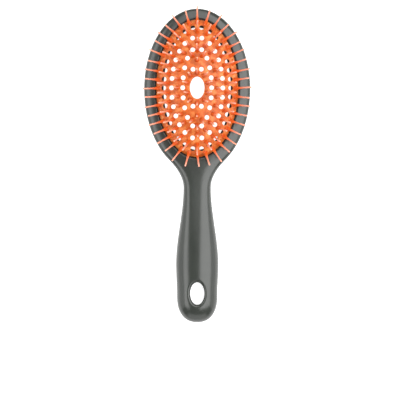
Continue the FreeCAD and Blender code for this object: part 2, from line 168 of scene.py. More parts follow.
class HairbrushPad(bpy.types.PropertyGroup):
    """Sizes of the cushion pad"""

    cap_ratio: share("Cap ratio", "Share of the ellipsoid's width that the dome's rim has", 0.95)
    wall: length("Membrane wall", "Thickness of the membrane", 1.2 * MM)
    rise: length("Rise", "Height of the dome's crown over its rim", 13.0 * MM)
    vent_radius: length("Vent radius", "Radius of each vent", 1.65 * MM)
    vent_edge: length("Vent edge", "Radius of the vents' rounded edges", 0.32 * MM)
    oval_half_width: length("Oval half width", "Half the width of the middle hole", 5.2 * MM)
    oval_half_length: length("Oval half length", "Half the length of the middle hole", 7.85 * MM)
    press_travel: length("Press travel", "How far the middle pins sink at most", 3.0 * MM)


class HairbrushPins(bpy.types.PropertyGroup):
    """Sizes of the pins"""

    long_length: length("Pin length", "Length of most pins", 15.5 * MM)
    short_length: length("Short pin length", "Length of every other outer pin", 13.6 * MM)
    shaft_radius: length("Shaft radius", "Radius of the shaft above the cone", 0.64 * MM)
    tip_radius: length("Tip radius", "Radius of the round tip", 0.5 * MM)
    flare_radius: length("Flare radius", "How much wider the cone is than the shaft", 0.8 * MM)
    outer_flare: length("Outer flare", "The same for the outer row, whose cones are bolder", 1.0 * MM)
    flare_length: length("Flare length", "Height at which the cone has become the shaft", 8.5 * MM)
    foot_radius: length("Foot radius", "Extra width of the fillet at the foot", 0.2 * MM)
    foot_length: length("Foot length", "Height of the fillet at the foot", 0.35 * MM)
    root_depth: length("Root depth", "How deep the root stands in the membrane", 0.55 * MM)
    root_taper: share("Root taper", "The buried root's share of the foot's width", 0.6)
    stray: angle("Stray", "How far pins stray from their even directions", 1.6)
    outer_share: share("Outer row share", "The outer row's share of the pad's half length", 0.953)
    outer_side_share: share("Outer row side share", "Its share of the half width", 0.925)
    outer_lean: angle("Outer lean", "How far the outer row leans out", 48.5)
    throat_pin_lean: angle("Throat pin lean", "How far the pin over the throat leans out", 37.0)
    throat_pin_turn: angle("Throat pin turn", "How far that pin is turned to the side", 8.0)


class HairbrushFinish(bpy.types.PropertyGroup):
    """Colours of the brush"""

    shell: colour("Shell", "Dark green-grey moulded plastic", (0.019, 0.022, 0.0185))
    ring: colour("Retaining ring", "Dark plastic behind the pad", (0.035, 0.038, 0.034))
    pad: colour("Pad", "Orange pad", (0.43, 0.084, 0.007))
    # A lighter copy of the pad's orange: painted light that stands for light coming through the pad; the
    # rubber material lays it on at random places, not at thin places.
    pad_painted_light: colour("Pad, painted light", "Orange where light comes through", (0.56, 0.18, 0.042))
    pin_root: colour("Pin root", "Orange at the foot of a pin", (0.54, 0.078, 0.006))
    pin_tip: colour("Pin tip", "Pale orange at the tip of a pin", (0.66, 0.30, 0.21))
    floor: colour("Floor", "Pale floor", (0.6, 0.6, 0.6))


# Shapes shared by the pieces


def ease(part, start, end, start_slope=0.0):
    """A smooth change: start + (end - start) p^2 (3 - 2p), plus the starting slope times p (1 - p)^2."""
    return start + (end - start) * part**2 * (3 - 2 * part) + start_slope * part * (1 - part) ** 2


def stations(size):
    """The reaches at which the outline changes from one curve to the next."""
    heel = HEAD_Y - FRONT_LOW[1]
    return {
        "lower": size.head_half_length + size.lower_stretch,
        "shoulder": size.head_half_length - size.shoulder_inset,
        "neck": size.head_half_length - size.shoulder_inset + size.throat_length,
        "grip": heel - size.grip_from_heel,
        "heel": heel - size.heel_length,
        "end": heel,
        "hang": heel - size.hang_from_heel,
    }


def half_width(reach, size):
    """Half the plan width. The head is an ellipse, w = W sqrt(1 - (r / L)^2), then three smooth
    changes lead to the neck, the grip and the heel, and the heel's end is w = W (1 - p^n)^(1/n)."""
    at = stations(size)
    long = np.where(reach < 0, size.head_half_length, at["lower"])
    head = size.head_half_width * np.sqrt(np.clip(1 - (reach / long) ** 2, 0, 1))
    edge = math.sqrt(1 - (at["shoulder"] / at["lower"]) ** 2)
    slope = -size.head_half_width * at["shoulder"] / (at["lower"] ** 2 * edge)
    slope *= at["neck"] - at["shoulder"]
    spans = [
        ("shoulder", "neck", size.head_half_width * edge, size.neck_half_width, slope),
        ("neck", "grip", size.neck_half_width, size.grip_half_width, 0.0),
        ("grip", "heel", size.grip_half_width, size.heel_half_width, 0.0),
    ]
    wide = head
    for start, end, first, last, lead in spans:
        part = np.clip((reach - at[start]) / (at[end] - at[start]), 0, 1)
        wide = np.where(reach > at[start], ease(part, first, last, lead), wide)
    past = np.clip((reach - at["heel"]) / size.heel_length, 0, 1)
    power = size.heel_squareness
    return np.where(reach > at["heel"], size.heel_half_width * (1 - past**power) ** (1 / power), wide)


def oval_gap(x, y, wide, long, centre):
    """About how far a plan point is outside an oval: (rho - 1) / |grad rho|, with
    rho = sqrt((x / a)^2 + (y / b)^2)."""
    down = y - centre
    rho = np.sqrt((x / wide) ** 2 + (down / long) ** 2)
    slope = np.sqrt((x / wide**2) ** 2 + (down / long**2) ** 2) / np.maximum(rho, 1e-9)
    return (rho - 1) / np.maximum(slope, 1e-9)


def edge_drop(gap, radius):
    """How far a rounded edge falls at a distance from its wall: r - sqrt(r^2 - (r - d)^2)."""
    inside = np.clip(radius - gap, 0, radius)
    return radius - np.sqrt(radius**2 - inside**2)


def section_height(x, y, size, side):
    """Height over (or depth under) the parting plane of the rounded section: H (1 - |x / w|^p)^(1/p),
    where H and the power p change smoothly along the throat and H falls to nothing at both ends."""
    at = stations(size)
    reach = HEAD_Y - y
    part = np.clip((reach - PAD_Y) / (at["grip"] - PAD_Y), 0, 1)
    blend = ease(part, 0.0, 1.0)
    power = size.head_squareness + (size.grip_squareness - size.head_squareness) * blend
    tip = np.clip(-reach / size.head_half_length, 0, 1)
    closing = np.where(
        reach < 0,
        (1 - tip**size.head_squareness) ** (1 / size.head_squareness),
        np.sqrt(1 - np.clip((reach - at["heel"]) / size.heel_length, 0, 1) ** 2),
    )
    across = np.clip(np.abs(x) / np.maximum(half_width(reach, size), 1e-7), 0, 1)
    rise = size.head_rise + (size.grip_rise - size.head_rise) * blend
    if side < 0:
        rise = PARTING + size.back_land
    rise = np.maximum(rise * closing - size.seam_half, 0)
    return size.seam_half + rise * (1 - across**power) ** (1 / power)


def outer_height(x, y, size, side, mouth):
    """Height of a shell's outer face: the rounded section, cut flat at the back land, less the
    rounded edges round the pad's opening and the hang hole."""
    height = PARTING + side * section_height(x, y, size, side)
    height = np.maximum(height, 0)
    drop = edge_drop(oval_gap(x, y, *mouth, HEAD_Y), size.recess_edge)
    hang = HEAD_Y - stations(size)["hang"]
    drop += edge_drop(
        oval_gap(x, y, size.hang_half_width, size.hang_half_length, hang), size.hang_edge
    )
    return np.where(side > 0, np.maximum(height - drop, PARTING), np.minimum(height + drop, PARTING))


def oval(wide, long, turns, centre):
    """Plan points on an oval, x = a sin t and y = c + b cos t, from the head's end clockwise."""
    return np.stack([wide * np.sin(turns), centre + long * np.cos(turns)], axis=-1)


def weld(grids, flat=1e-7):
    """Joins grids of points, each shaped rows by columns by 3, into one mesh. Points that fall
    together are merged, and squares that lose a corner become triangles or go."""
    points, squares, start = [], [], 0
    for grid in grids:
        rows, columns = grid.shape[:2]
        index = start + np.arange(rows * columns).reshape(rows, columns)
        squares.append(
            np.stack([index[:-1, :-1], index[:-1, 1:], index[1:, 1:], index[1:, :-1]], -1).reshape(-1, 4)
        )
        points.append(grid.reshape(-1, 3))
        start += rows * columns
    points, squares = np.concatenate(points), np.concatenate(squares)
    keys = np.round(points / flat).astype(np.int64)
    first, back = np.unique(keys, axis=0, return_index=True, return_inverse=True)[1:]
    squares = back.reshape(-1)[squares]
    same = squares == np.roll(squares, -1, axis=1)
    whole = squares[same.sum(axis=1) == 0]
    triples = squares[same.sum(axis=1) == 1]
    gone = same[same.sum(axis=1) == 1]
    triples = triples[~gone].reshape(-1, 3)
    return points[first], whole.tolist() + triples.tolist()


def make_piece(name, points, faces, sharp=40.0):
    """A closed, smooth-shaded mesh object that faces outward, with edges over the angle kept sharp."""
    mesh = bpy.data.meshes.new(name)
    mesh.from_pydata(np.asarray(points).tolist(), [], faces)
    if mesh.validate():
        raise RuntimeError(name + " has broken faces")
    work = bmesh.new()
    work.from_mesh(mesh)
    if not all(edge.is_manifold for edge in work.edges):
        raise RuntimeError(name + " is not closed")
    bmesh.ops.recalc_face_normals(work, faces=work.faces)
    work.to_mesh(mesh)
    work.free()
    mesh.shade_smooth()
    mesh.set_sharp_from_angle(angle=math.radians(sharp))
    mesh.update()
    piece = bpy.data.objects.new(name, mesh)
    bpy.context.scene.collection.objects.link(piece)
    return piece


# Rows of a shell along the head, the middle plane, the hang hole and the heel's end, then points along
# a row of its face and its parting face. The outline's rows change from plan steps to turning steps at
# the turning share of the throat and of the heel.
HEAD_ROWS, AXIS_ROWS, HOLE_ROWS, END_ROWS = 96, 60, 48, 24
FACE_STEPS, PARTING_STEPS = 28, 4
TO_HOLE = HEAD_ROWS + AXIS_ROWS
PAST_HOLE = TO_HOLE + HOLE_ROWS
TURNING_SHARE = 0.55


def lift(plan, height):
    """Plan points with a height, or with one height each, added."""
    return np.concatenate([plan, np.broadcast_to(height, plan.shape[:-1])[..., None]], axis=-1)


def shell_grids(size, side, mouth, seat, seat_height):
    """Grids for one shell. Straight rows run from an inner curve (the pad's opening, the middle
    plane, the hang hole, the middle plane) to the outline. Along a row the points sit at
    q = 1 - (1 - v^2)^3, close together at both edges. Walls and a flat parting face close it."""
    at = stations(size)
    hang = HEAD_Y - at["hang"]
    turns, hole_turns = (np.linspace(0, math.pi, rows + 1) for rows in (HEAD_ROWS, HOLE_ROWS))
    wave, few = ((1 - np.cos(np.linspace(0, math.pi, rows + 1))) / 2 for rows in (AXIS_ROWS, END_ROWS))
    bottom = at["shoulder"] + TURNING_SHARE * size.throat_length
    before, after = at["hang"] - size.hang_half_length, at["hang"] + size.hang_half_length
    late = at["heel"] + TURNING_SHARE * size.heel_length
    ends = np.where(turns < math.pi / 2, size.head_half_length, bottom)
    edge = math.asin(TURNING_SHARE)
    last_turns = edge + (math.pi / 2 - edge) * np.linspace(0, 1, END_ROWS + 1)[1:]
    reach = np.concatenate(
        [
            -ends * np.cos(turns),
            bottom + (before - bottom) * wave[1:],
            before + (late - before) * np.linspace(0, 1, HOLE_ROWS + 1)[1:],
            at["heel"] + size.heel_length * np.sin(last_turns),
        ]
    )
    outline = np.stack([half_width(reach, size), HEAD_Y - reach], axis=-1)
    outline[[0, -1], 0] = 0
    along = np.gradient(outline, axis=0)
    inward = np.stack([along[:, 1], -along[:, 0]], axis=-1)
    inward /= np.linalg.norm(inward, axis=1, keepdims=True)
    groove = outline + inward * size.seam_depth
    groove[[0, -1], 0] = 0

    def inner(wide, long, end):
        """The inner curve round an opening of that size, down to the heel's end."""
        throat = HEAD_Y - long
        axis = np.zeros((AXIS_ROWS, 2))
        axis[:, 1] = throat + (HEAD_Y - before - throat) * wave[1:]
        rest = np.zeros((END_ROWS, 2))
        rest[:, 1] = HEAD_Y - after + (end - HEAD_Y + after) * few[1:]
        hole = oval(size.hang_half_width, size.hang_half_length, hole_turns, hang)
        curve = np.concatenate([oval(wide, long, turns, HEAD_Y), axis, hole[1:], rest])
        curve[[0, HEAD_ROWS, TO_HOLE, PAST_HOLE], 0] = 0
        return curve

    spread = 1 - (1 - np.linspace(0, 1, FACE_STEPS + 1) ** 2) ** 3
    start = inner(*mouth, outline[-1, 1])
    plan = start[:, None] + (outline - start)[:, None] * spread[:, None]
    face = lift(plan, outer_height(plan[..., 0], plan[..., 1], size, side, mouth))
    face[:, -1, 2] = PARTING + side * size.seam_half
    flat = inner(*seat, groove[-1, 1])
    steps = np.linspace(0, 1, PARTING_STEPS + 1)
    parting = lift(groove[:, None] + (flat - groove)[:, None] * steps[:, None], PARTING)
    seam = np.stack([face[:, -1], parting[:, 0]], axis=1)
    head = slice(HEAD_ROWS + 1)
    ledge = [lift(flat[head], seat_height), lift(start[head], seat_height)]
    walls = np.stack([parting[head, -1], *ledge, face[head, 0]], axis=1)
    hole = slice(TO_HOLE, PAST_HOLE + 1)
    hole_wall = np.stack([parting[hole, -1], face[hole, 0]], axis=1)
    half = [face, seam, parting, walls, hole_wall]
    return half + [grid * np.array([-1.0, 1.0, 1.0]) for grid in half]


RING_ROWS, RING_CORNER = 180, 0.25 * MM
CORNER_SHARE = 0.45


def rounded(corner_points, radius, steps=4):
    """A closed profile with rounded corners: each corner V becomes the curve
    (1 - t)^2 A + 2t (1 - t) V + t^2 B between points A and B on its two sides, which are the radius
    away, or the corner share of a short side."""
    corner = np.asarray(corner_points, float)
    before, after = np.roll(corner, 1, axis=0), np.roll(corner, -1, axis=0)

    def towards(other):
        away = other - corner
        far = np.linalg.norm(away, axis=1, keepdims=True)
        return corner + away / far * np.minimum(radius, CORNER_SHARE * far)

    t = np.linspace(0, 1, steps + 1)[None, :, None]
    start, end = towards(before)[:, None], towards(after)[:, None]
    curve = (1 - t) ** 2 * start + 2 * t * (1 - t) * corner[:, None] + t**2 * end
    return curve.reshape(-1, 2)


def carried_round(profile, count):
    """A grid with a profile carried round the pad's oval: x = (a + u) sin t, y = c + (b + u) cos t,
    z = v, for each profile point (u, v)."""
    turns = np.linspace(0, 2 * math.pi, count + 1)[:, None]
    loop = np.concatenate([profile, profile[:1]])
    reach_out, height = loop[:, 0], np.broadcast_to(loop[:, 1], (count + 1, len(loop)))
    across = (PAD_X + reach_out) * np.sin(turns)
    grid = np.stack([across, HEAD_Y + (PAD_Y + reach_out) * np.cos(turns), height], axis=-1)
    grid[-1] = grid[0]
    return grid


def dome_height(x, y, size, inset=0.0):
    """Height of the pad's dome, or of its underside with the wall as the inset i:
    z = c + (h - i) sqrt(1 - (x / (a / k - i))^2 - ((y - m) / (b / k - i))^2)."""
    depth = math.sqrt(1 - size.cap_ratio**2)
    tall = size.rise / (1 - depth)
    level = (x / (PAD_X / size.cap_ratio - inset)) ** 2
    level = level + ((y - HEAD_Y) / (PAD_Y / size.cap_ratio - inset)) ** 2
    return RIM_TOP - depth * tall + (tall - inset) * np.sqrt(np.clip(1 - level, 0, 1))


ARC_STEPS = 1440


def even_row(wide, long, count, start):
    """Plan places at even steps of arc along an oval, the first a share of a step off the long axis."""
    turns = np.linspace(0, 2 * math.pi, ARC_STEPS + 1)
    rim = np.stack([wide * np.sin(turns), long * np.cos(turns)], axis=-1)
    gone = np.concatenate([[0], np.cumsum(np.linalg.norm(np.diff(rim, axis=0), axis=1))])
    goals = gone[-1] * (np.arange(count) + start) / count
    return np.stack([np.interp(goals, gone, rim[:, 0]), HEAD_Y + np.interp(goals, gone, rim[:, 1])], -1)


def four_quarters(across, along):
    """The same place in all four quarters, once each."""
    signs = np.array([(1, 1), (1, -1), (-1, 1), (-1, -1)])
    places = np.unique(signs * np.array([across, along]) + 0.0, axis=0)
    return places + np.array([0, HEAD_Y])


# Each row of vents: its shares of the pad's half width and half length, its count, and how far its
# first vent is off the long axis, as a share of a step
VENT_ROWS = [(0.813, 0.888, 34, 0.5), (0.622, 0.736, 26, 0.5), (0.350, 0.581, 18, 0.5)]
VENT_PAIR = (0.102, 0.268)


def vent_places():
    """Plan places of the vents: three rows along ovals, and two pairs on the crest."""
    rows = [even_row(side * PAD_X, end * PAD_Y, count, start) for side, end, count, start in VENT_ROWS]
    return np.concatenate(rows + [four_quarters(VENT_PAIR[0] * PAD_X, VENT_PAIR[1] * PAD_Y)])


VENT_POINTS, OVAL_POINTS, BORDER_POINTS = 20, 56, 160
OVAL_ROLL = 2.2


def hole_edges(size):
    """Rings of points round each vent and round the middle hole, from the top face down to the
    underside. The holes are upright, and their edges are rolled: out by e (1 - sin u) and down by
    e (1 - cos u), as u goes from 0 to 90 degrees."""
    roll = np.linspace(0, math.pi / 2, 5)
    out, down = size.vent_edge * (1 - np.sin(roll)), size.vent_edge * (1 - np.cos(roll))
    vents = [(place, np.full(2, size.vent_radius), VENT_POINTS, 1.0) for place in vent_places()]
    half_oval = np.array([size.oval_half_width, size.oval_half_length])
    middle = ((0, HEAD_Y), half_oval, OVAL_POINTS, OVAL_ROLL)
    loops = []
    for place, half, count, round_more in vents + [middle]:
        turn = np.linspace(0, 2 * math.pi, count + 1)[:-1]
        spoke = np.stack([np.sin(turn), np.cos(turn)], axis=-1)
        plan = place + (half + round_more * np.append(out, 0.0)[:, None, None]) * spoke
        height = dome_height(plan[..., 0], plan[..., 1], size) - round_more * np.append(down, 0.0)[:, None]
        height[-1] = dome_height(plan[-1, :, 0], plan[-1, :, 1], size, size.wall)
        loops.append(np.concatenate([plan, np.maximum(height, RIM_TOP)[..., None]], axis=-1))
    return loops


NESTS, NEST_SPREAD, NEST_POINTS, NEST_LEAST = 24, 1.35, 150, 8
HOLE_CLEAR, UNDER_RIM = 0.45 * MM, 0.1 * MM


def membrane_mesh(size):
    """The pad as a closed skin. Plan points on nested ovals, with the rings round the holes, are
    joined by a Delaunay triangulation and lifted to the dome. The underside is the same net on the
    inner dome, and goes only a little below the rim's top, so that the two meet."""
    loops = hole_edges(size)
    turns = np.linspace(0, 2 * math.pi, BORDER_POINTS + 1)[:-1]
    border = oval(PAD_X, PAD_Y, turns, HEAD_Y)
    nests = []
    for level in 1 - (1 - np.linspace(0, 1, NESTS + 1)[1:-1]) ** NEST_SPREAD:
        count = max(NEST_LEAST, round(NEST_POINTS * level))
        nests.append(even_row(level * PAD_X, level * PAD_Y, count, level / 2))
    fill = np.concatenate(nests)
    centres = np.array([loop[0, :, :2].mean(axis=0) for loop in loops])
    spans = np.array([np.ptp(loop[0, :, :2], axis=0) / 2 for loop in loops])
    away = (fill[:, None] - centres) / (spans + HOLE_CLEAR)
    fill = fill[(np.linalg.norm(away, axis=-1) > 1).all(axis=1)]
    rims = [loop[0, :, :2] for loop in loops]
    plan, edges, start = [border, *rims, fill], [], 0
    for ring in [border, *rims]:
        index = start + np.arange(len(ring))
        edges += np.stack([index, np.roll(index, -1)], axis=-1).tolist()
        start += len(ring)
    plan = np.concatenate(plan)
    net = geometry.delaunay_2d_cdt([Vector(p) for p in plan.tolist()], edges, [], 0, 1e-7)
    if len(net[0]) != len(plan):
        raise RuntimeError("the pad's net gained or lost points")
    triangles = np.array(net[2])
    owner = np.full(len(plan), -1)
    counts = [len(ring) for ring in rims]
    owner[len(border) : len(border) + sum(counts)] = np.repeat(np.arange(len(rims)), counts)
    owners = owner[triangles]
    in_hole = (owners[:, 0] >= 0) & (owners == owners[:, :1]).all(axis=1)
    triangles = triangles[~in_hole]
    top = np.concatenate([plan, dome_height(plan[:, 0], plan[:, 1], size)[:, None]], axis=-1)
    low = np.copy(top)
    low[:, 2] = np.maximum(dome_height(plan[:, 0], plan[:, 1], size, size.wall), RIM_TOP - UNDER_RIM)
    points, faces = [top, low], [triangles, triangles + len(top)]
    edge = np.arange(len(border))
    faces.append(np.stack([edge, np.roll(edge, -1), np.roll(edge, -1) + len(top), edge + len(top)], -1))
    start, total = len(border), 2 * len(top)
    for loop in loops:
        rings, count = loop.shape[:2]
        first = start + np.arange(count)
        inner = total + np.arange((rings - 2) * count).reshape(rings - 2, count)
        index = np.concatenate([first[None], inner, first[None] + len(top)])
        points[1][start : start + count] = loop[-1]
        beside = np.roll(index, -1, axis=1)
        faces.append(np.stack([index[:-1], index[1:], beside[1:], beside[:-1]], -1).reshape(-1, 4))
        points.append(loop[1:-1].reshape(-1, 3))
        start, total = start + count, total + (rings - 2) * count
    return np.concatenate(points), sum((part.tolist() for part in faces), [])


PIN_SIDES, TIP_RINGS = 12, 5
RING_HEIGHTS = np.array([0.0, 0.25, 0.6, 1.1, 1.8, 2.8, 4.2, 6.5, 9.5]) * MM


def pin_grid(places, facing, lengths, flare, size):
    """Pins as a grid of rings round their axes. The radius at a height t over the pad is
    s + (e - s) t / L + f (1 - t / g)^2 + k exp(-t / h), for the shaft, cone and foot. The round tip
    is r = b sqrt(1 - u^2), where b is the radius of the ring below it, and the buried root tapers."""
    tip = size.tip_radius
    over = np.broadcast_to(RING_HEIGHTS, (len(places), len(RING_HEIGHTS)))
    close = np.sin(np.linspace(0, math.pi / 2, TIP_RINGS)) * tip
    root = np.full((len(places), 1), -size.root_depth)
    height = np.concatenate([root, root, over, lengths[:, None] - tip + close], axis=1)
    along = np.clip(height / lengths[:, None], 0, 1)
    above = np.maximum(height, 0)
    radius = size.shaft_radius + (tip - size.shaft_radius) * along
    radius += flare * np.clip(1 - above / size.flare_length, 0, 1) ** 2
    radius += size.foot_radius * np.exp(-above / size.foot_length)
    radius[:, 0] = 0
    radius[:, 1] *= size.root_taper
    base = radius[:, -TIP_RINGS - 1 : -TIP_RINGS]
    radius[:, -TIP_RINGS:] = base * np.sqrt(1 - (close / tip) ** 2)
    radius[:, -1] = 0
    side = np.cross(facing, np.array([0.0, 1.0, 0.0]))
    side /= np.linalg.norm(side, axis=1, keepdims=True)
    other = np.cross(facing, side)
    turn = np.linspace(0, 2 * math.pi, PIN_SIDES + 1)
    spoke = np.cos(turn)[:, None] * side[:, None] + np.sin(turn)[:, None] * other[:, None]
    spoke[:, -1] = spoke[:, 0]
    rings = radius[..., None, None] * spoke[:, None] + (height[..., None] * facing[:, None])[:, :, None]
    return places[:, None, None] + rings


def stand(plan, wide, long, lean, size, stray, rng):
    """Points on the dome and directions that lean outward, square to an oval, with a little stray."""
    points = np.concatenate([plan, dome_height(plan[:, 0], plan[:, 1], size)[:, None]], axis=-1)
    out = np.stack([plan[:, 0] / wide**2, (plan[:, 1] - HEAD_Y) / long**2], axis=-1)
    out /= np.linalg.norm(out, axis=1, keepdims=True)
    lean = np.broadcast_to(lean, len(plan))[:, None]
    facing = np.concatenate([out * np.sin(lean), np.cos(lean)], axis=1)
    facing = facing + rng.normal(0, stray, facing.shape)
    return points, facing / np.linalg.norm(facing, axis=1, keepdims=True)


# Materials


class Shader:
    """A small helper that lays out one procedural material."""

    def __init__(self, name, roughness):
        self.material = bpy.data.materials.new(name)
        self.material.use_nodes = True
        self.tree = self.material.node_tree
        self.surface = self.tree.nodes["Principled BSDF"]
        self.set(self.surface, Roughness=roughness, IOR=1.5)
        self.place = self.tree.nodes.new("ShaderNodeTexCoord").outputs["Object"]

    def set(self, node, **values):
        for name, value in values.items():
            node.inputs[name.replace("_", " ")].default_value = value

    def noise(self, scale, detail=3.0):
        node = self.tree.nodes.new("ShaderNodeTexNoise")
        self.set(node, Scale=scale, Detail=detail)
        self.tree.links.new(self.place, node.inputs["Vector"])
        return node.outputs["Fac"]

    def ramp(self, source, stops):
        node = self.tree.nodes.new("ShaderNodeValToRGB")
        self.tree.links.new(source, node.inputs["Fac"])
        elements = node.color_ramp.elements
        for _ in stops[2:]:
            elements.new(0.5)
        for element, (position, tone) in zip(elements, stops):
            element.position = position
            element.color = (*tone, 1.0)
        return node.outputs["Color"]

    def range(self, source, low, high):
        node = self.tree.nodes.new("ShaderNodeMapRange")
        self.tree.links.new(source, node.inputs["Value"])
        node.inputs["To Min"].default_value = low
        node.inputs["To Max"].default_value = high
        return node.outputs["Result"]

    def to(self, source, socket):
        self.tree.links.new(source, self.surface.inputs[socket])

    def bump(self, source, distance, strength=1.0):
        node = self.tree.nodes.new("ShaderNodeBump")
        self.set(node, Distance=distance, Strength=strength)
        self.tree.links.new(source, node.inputs["Height"])
        self.to(node.outputs["Normal"], "Normal")

    def soft(self, weight, depth):
        self.set(self.surface, Subsurface_Weight=weight, Subsurface_Scale=depth)
        self.surface.inputs["Subsurface Radius"].default_value = (1.0, 0.4, 0.2)


def tint(tone, factor):
    """A colour made lighter or darker."""
    return tuple(min(1.0, channel * factor) for channel in tone)


def dark_plastic(name, tone, roughness):
    """Satin moulded plastic: faint mottling, and a fine grain in its polish and surface."""
    shader = Shader(name, roughness)
    stops = [(0.3, tint(tone, 0.93)), (0.7, tint(tone, 1.07))]
    shader.to(shader.ramp(shader.noise(90.0), stops), "Base Color")
    shader.to(shader.range(shader.noise(420.0, 4.0), roughness - 0.05, roughness + 0.06), "Roughness")
    shader.bump(shader.noise(2600.0, 2.0), 0.00001)
    return shader.material


def rubber(name, tone, light):
    """Soft translucent elastomer with a fine uneven skin. Its colour is mottled at random between a darker
    copy of the tone, which is painted shade, the tone itself, and a lighter orange, which is painted light
    coming through the rubber.
    """
    shader = Shader(name, 0.42)
    # Painted shade (the tone at 0.8) and painted light (the lighter orange), spread over the surface at
    # random by noise.
    stops = [(0.34, tint(tone, 0.8)), (0.48, tone), (0.68, light)]
    shader.to(shader.ramp(shader.noise(260.0, 3.0), stops), "Base Color")
    shader.to(shader.range(shader.noise(900.0), 0.38, 0.5), "Roughness")
    shader.set(shader.surface, Specular_IOR_Level=0.3)
    shader.soft(0.35, 0.0025)
    shader.bump(shader.noise(1500.0, 3.0), 0.00003)
    return shader.material


def pin_finish(name, root, tip):
    """Orange at the foot of a pin, fading to a pale tip, by the share of its length."""
    shader = Shader(name, 0.33)
    along = shader.tree.nodes.new("ShaderNodeAttribute")
    along.attribute_name = "along"
    middle = tuple(0.35 * a + 0.65 * b for a, b in zip(root, tip))
    stops = [(0.0, tint(root, 0.85)), (0.25, root), (0.6, middle), (0.95, tip)]
    shader.to(shader.ramp(along.outputs["Fac"], stops), "Base Color")
    shader.to(shader.range(shader.noise(700.0), 0.28, 0.4), "Roughness")
    shader.set(shader.surface, Specular_IOR_Level=0.4)
    shader.soft(0.3, 0.0015)
    return shader.material


def floor_finish(name, tone):
    """A floor so evenly lit that it is close to white, with the faintest mottling."""
    shader = Shader(name, 0.9)
    shader.to(shader.ramp(shader.noise(6.0), [(0.0, tint(tone, 0.99)), (1.0, tone)]), "Base Color")
    shader.surface.inputs["Emission Color"].default_value = (1.0, 1.0, 1.0, 1.0)
    shader.set(shader.surface, Emission_Strength=0.95, Specular_IOR_Level=0.0)
    return shader.material


# The pieces


def settle(piece, material, body, slot, *nodes):
    """Gives a piece its material and body, and lets it stand for CAD nodes. The slot is not used."""
    piece.data.materials.append(material)
    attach(piece, body)
    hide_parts(*nodes)
    return piece


class HAIRBRUSH_OT_shells(bpy.types.Operator):
    """Make the front and back shells of the head ring and the handle"""

    bl_idname = "hairbrush.shells"
    bl_label = "Shells"

    def execute(self, context):
        size, finish = context.scene.hairbrush_shell, context.scene.hairbrush_finish
        plastic = dark_plastic("shell_plastic", tuple(finish.shell), 0.22)
        gap, inset = size.recess_gap, size.back_lip_inset
        recess = (PAD_X + gap, PAD_Y + gap)
        ledge = (PAD_X - size.ledge_inset, PAD_Y - size.ledge_inset)
        opening = (PAD_X - inset, PAD_Y - inset)
        seat = (RING_HIGH[0] + size.seat_clearance, RING_HIGH[1] - HEAD_Y + size.seat_clearance)
        for name, side, mouth, inner, height in (
            ("handle_front_shell", 1, recess, ledge, LEDGE_TOP),
            ("handle_back_shell", -1, opening, seat, FLANGE_BOTTOM),
        ):
            points, faces = weld(shell_grids(size, side, mouth, inner, height))
            piece = make_piece(name + "_skin", points, faces)
            settle(piece, plastic, "root", "shell", name)
        return {"FINISHED"}


class HAIRBRUSH_OT_rings(bpy.types.Operator):
    """Make the pad's rim with its skirt, and the ring that holds it from behind"""

    bl_idname = "hairbrush.rings"
    bl_label = "Rings"

    def execute(self, context):
        size, finish = context.scene.hairbrush_shell, context.scene.hairbrush_finish
        skirt = RING_HIGH[0] - size.lip_width - size.seat_clearance - PAD_X
        lip = skirt + size.lip_width + size.seat_clearance
        inner = skirt - size.skirt_wall
        lip_top = SKIRT_BOTTOM + size.lip_width - size.seat_clearance / 3
        rim = [(0, RIM_TOP), (0, LEDGE_TOP), (skirt, LEDGE_TOP), (skirt, lip_top)]
        rim += [(lip, lip_top), (lip, SKIRT_BOTTOM), (inner, SKIRT_BOTTOM), (inner, RIM_TOP)]
        tube = inner - size.seat_clearance
        bore = tube - size.ring_wall
        hold = [(tube, LEDGE_TOP), (bore, LEDGE_TOP), (bore, FLANGE_BOTTOM)]
        hold += [(lip, FLANGE_BOTTOM), (lip, SKIRT_BOTTOM), (tube, SKIRT_BOTTOM)]
        soft = rubber("rim_rubber", tuple(finish.pad), tuple(finish.pad_painted_light))
        dark = dark_plastic("ring_plastic", tuple(finish.ring), 0.45)
        for name, profile, material, slot in (
            ("pad_rim", rim, soft, "pad"),
            ("pad_retaining_ring", hold, dark, "ring"),
        ):
            points, faces = weld([carried_round(rounded(profile, RING_CORNER), RING_ROWS)])
            settle(make_piece(name + "_skin", points, faces), material, "root", slot, name)
        return {"FINISHED"}


class HAIRBRUSH_OT_pad(bpy.types.Operator):
    """Make the domed pad with its vents and its middle hole"""

    bl_idname = "hairbrush.pad"
    bl_label = "Pad"

    def execute(self, context):
        size, finish = context.scene.hairbrush_pad, context.scene.hairbrush_finish
        material = rubber("pad_rubber", tuple(finish.pad), tuple(finish.pad_painted_light))
        piece = make_piece("pad_membrane_skin", *membrane_mesh(size))
        settle(piece, material, "root", "pad", "pad_membrane")
        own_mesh(piece)
        return {"FINISHED"}


# Each inner row of pins: its body, its shares of the pad's half width and half length, its count and
# its lean in degrees. The pins of the crest and round the oval hole stand at the same place in all four
# quarters, given as shares of the pad's or the oval hole's half sizes, with a lean in degrees.
PIN_ROWS = {
    "pins_second_row": ("second_row", 0.704, 0.817, 30, 28.0),
    "pins_third_row": ("third_row", 0.473, 0.663, 24, 11.0),
}
CREST_PINS = [(0.0, 0.537, 14.0), (0.0, 0.402, 4.0), (0.112, 0.459, 12.0)]
OVAL_PINS = [(0.0, 1.34, 8.0), (0.913, 1.108, 12.0), (1.346, 0.459, 12.0)]
OUTER_COUNT = 40
STRAY_SEED = 11


